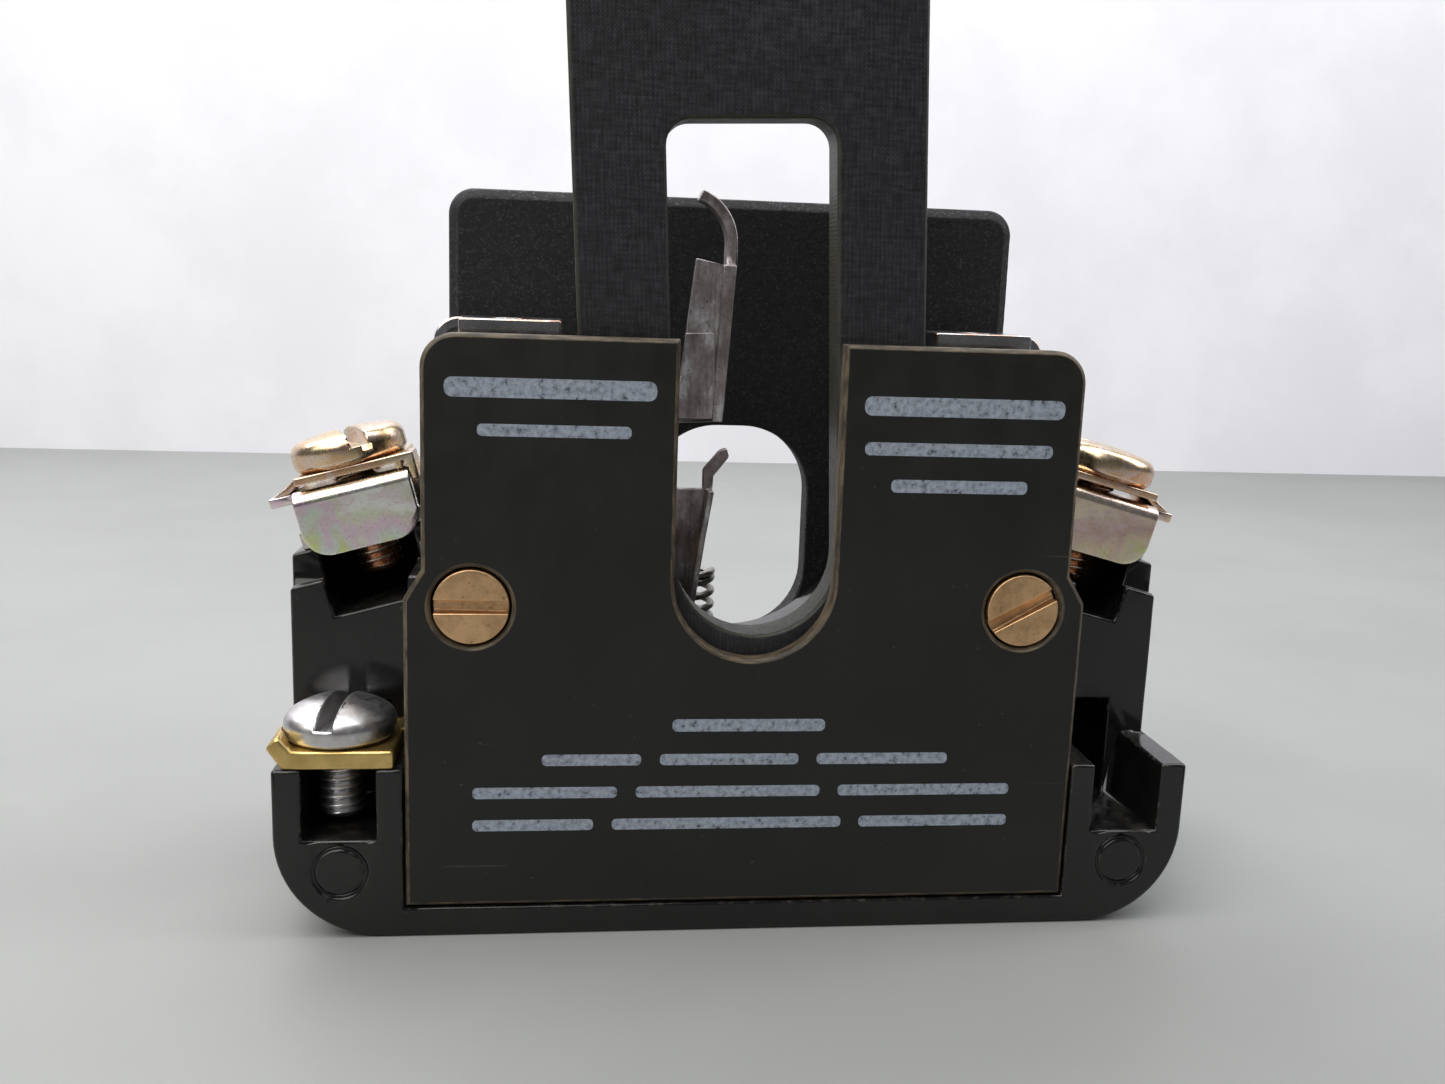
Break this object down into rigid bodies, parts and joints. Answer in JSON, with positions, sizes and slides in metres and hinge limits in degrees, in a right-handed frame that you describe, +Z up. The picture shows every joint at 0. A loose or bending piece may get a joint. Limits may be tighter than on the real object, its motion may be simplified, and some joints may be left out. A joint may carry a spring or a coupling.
{
  "type": "thermal overload relay block",
  "caption": "Single-pole melting-alloy overload relay block without its thermal unit: reset slide, trip levers, two power terminals and control terminals.",
  "frame": {"origin": "middle of the front face's bottom edge, on the flat underside", "axes": "+X to the right seen from the front, +Y from the front plate to the rear plate, +Z up"},
  "size_m": [0.0842, 0.03, 0.0908],
  "materials": {
    "phenolic": "glossy",
    "laminate": "matte",
    "fibre": "satin",
    "board": "matte",
    "brass": "satin",
    "plated_copper": "satin",
    "nickel": "polished",
    "chromate": "satin",
    "lever_steel": "worn",
    "spring_steel": "satin",
    "silver": "satin"
  },
  "bodies": {
    "base": {"housing": "phenolic", "front_plate": "laminate", "cover_screws": "brass", "cover_inserts": "brass", "reset_springs": "spring_steel", "lever_pin": "nickel", "pin_spacers": "brass", "trip_spring": "spring_steel", "fixed_contacts": "silver", "control_strap_front": "brass", "control_strap_rear": "brass", "power_strap_right": "plated_copper", "power_strap_left": "plated_copper", "rear_plate": "board", "rear_plate_screws": "nickel", "mounting_inserts": "brass"},
    "slide": {"reset_slide": "fibre"},
    "pawl": {"pawl_lever": "lever_steel", "cam_pin": "nickel", "contact_bridge": "brass", "moving_contacts": "silver"},
    "trip": {"trip_lever": "lever_steel"},
    "control_front": {"control_screw_front": "nickel"},
    "control_rear": {"control_screw_rear": "nickel"},
    "clamp_right": {"yoke_right": "chromate", "saddle_washer_right": "chromate"},
    "clamp_left": {"yoke_left": "chromate", "saddle_washer_left": "chromate"},
    "screw_right": {"power_screw_right": "chromate"},
    "screw_left": {"power_screw_left": "chromate"}
  },
  "joints": [
    {"name": "reset_push", "type": "slide", "parent": "base", "child": "slide", "axis": [0.0494, 0, -0.9988], "range_m": [0, 0.006], "stiffness_N_per_m": 200, "springref_m": -0.004, "deforming": ["reset_springs"]},
    {"name": "pawl_swing", "type": "hinge", "parent": "base", "child": "pawl", "pos_m": [-0.0086, 0.013, 0.031], "axis": [0, 1, 0], "range_deg": [0, 5.75], "deforming": ["trip_spring"]},
    {"name": "trip_swing", "type": "hinge", "parent": "base", "child": "trip", "pos_m": [-0.0086, 0.01, 0.031], "axis": [0, 1, 0], "range_deg": [0, 4.02]},
    {"name": "control_front_turn", "type": "hinge", "parent": "base", "child": "control_front", "pos_m": [-0.0349, 0.00475, 0.0166], "axis": [0, 0, 1], "range_deg": [0, 720]},
    {"name": "control_rear_turn", "type": "hinge", "parent": "base", "child": "control_rear", "pos_m": [0.0349, 0.02525, 0.0166], "axis": [0, 0, 1], "range_deg": [0, 720]},
    {"name": "clamp_right_lower", "type": "slide", "parent": "base", "child": "clamp_right", "axis": [-0.2588, 0, -0.9659], "range_m": [0, 0.00159]},
    {"name": "screw_right_turn", "type": "hinge", "parent": "clamp_right", "child": "screw_right", "pos_m": [0.03508, 0.0145, 0.03916], "axis": [-0.2588, 0, -0.9659], "range_deg": [0, 720]},
    {"name": "clamp_left_lower", "type": "slide", "parent": "base", "child": "clamp_left", "axis": [0.2588, 0, -0.9659], "range_m": [0, 0.00159]},
    {"name": "screw_left_turn", "type": "hinge", "parent": "clamp_left", "child": "screw_left", "pos_m": [-0.03508, 0.0145, 0.03916], "axis": [0.2588, 0, -0.9659], "range_deg": [0, 720]}
  ],
  "couplings": [
    {"joint": "pawl_swing", "follows": "reset_push", "rad_per_m": 16.667},
    {"joint": "trip_swing", "follows": "reset_push", "rad_per_m": 11.6},
    {"joint": "screw_right_turn", "follows": "clamp_right_lower", "rad_per_m": 7915.8},
    {"joint": "screw_left_turn", "follows": "clamp_left_lower", "rad_per_m": 7915.8}
  ]
}
